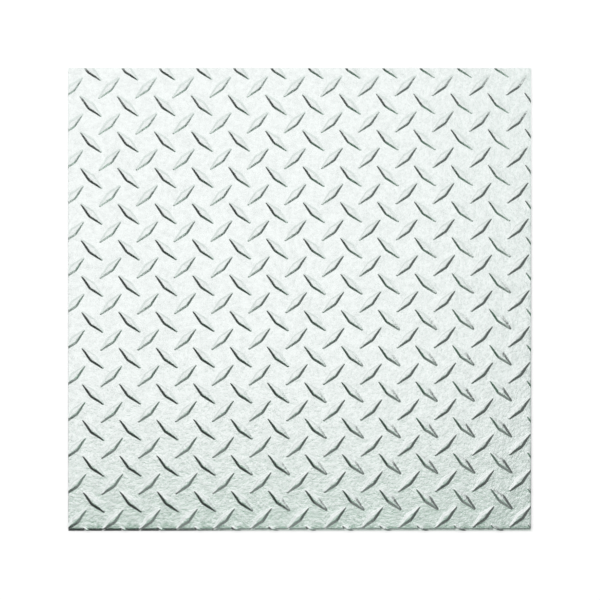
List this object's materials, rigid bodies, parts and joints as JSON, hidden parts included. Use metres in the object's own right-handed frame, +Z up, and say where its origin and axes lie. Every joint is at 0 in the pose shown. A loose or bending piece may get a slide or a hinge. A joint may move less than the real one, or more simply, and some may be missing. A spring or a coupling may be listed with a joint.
{
  "type": "aluminium tread sheet",
  "caption": "Square of aluminium sheet with raised diamond lugs in two crossing sets on its upper face and a smooth underside.",
  "frame": {"origin": "middle of the sheet's smooth underside, on the surface that it lies on", "axes": "+Z up through the thickness to the lugs, +X along the front edge to the right, +Y from the front edge to the back"},
  "size_m": [0.6096, 0.6096, 0.0047],
  "materials": {
    "aluminium": "bright rolled mill finish"
  },
  "bodies": {
    "root": {"tread_sheet": "aluminium"}
  },
  "joints": []
}
